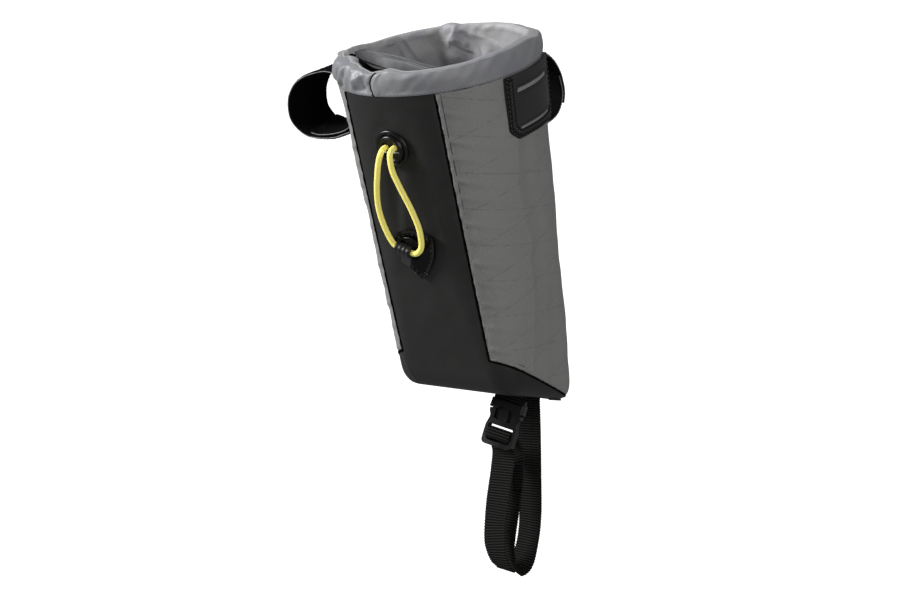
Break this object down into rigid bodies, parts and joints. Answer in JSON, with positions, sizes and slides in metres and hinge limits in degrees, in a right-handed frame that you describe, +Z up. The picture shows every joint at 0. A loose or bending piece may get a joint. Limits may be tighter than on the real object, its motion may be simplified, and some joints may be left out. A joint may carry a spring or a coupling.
{
  "type": "bicycle food pouch",
  "caption": "Open-topped fabric pouch that hangs from a handlebar and a stem by hook-and-loop straps, with an elastic pull loop and a buckled strap below.",
  "frame": {"origin": "middle of the back strap's loop, where the handlebar lies along X", "axes": "+Z up along the pouch, -Y is the black front panel, +X is the right-hand side seen from the front"},
  "size_m": [0.1537, 0.1476, 0.2987],
  "materials": {
    "laminate": "gray ripstop laminate",
    "panel": "smooth satin black laminated fabric",
    "nylon": "gray coated nylon, light sheen",
    "rubber": "smooth black rubberised patch sheet",
    "hook": "black hook-and-loop strap, matt",
    "webbing": "black ribbed webbing",
    "plastic": "black moulded plastic, satin",
    "elastic": "yellow braided elastic"
  },
  "bodies": {
    "root": {"side_panels": "laminate", "front_panel": "panel", "rim_collar": "nylon", "lining": "nylon", "closure_band": "nylon", "right_patch": "rubber", "left_patch": "rubber", "back_patch": "rubber", "left_strap": "hook", "back_strap": "hook", "grommet": "plastic", "shield_patch": "plastic", "cord_lock": "plastic", "elastic_cord": "elastic", "buckle_socket": "plastic", "buckle_plug": "plastic", "buckle_tab": "webbing", "lower_strap": "webbing"}
  },
  "joints": []
}
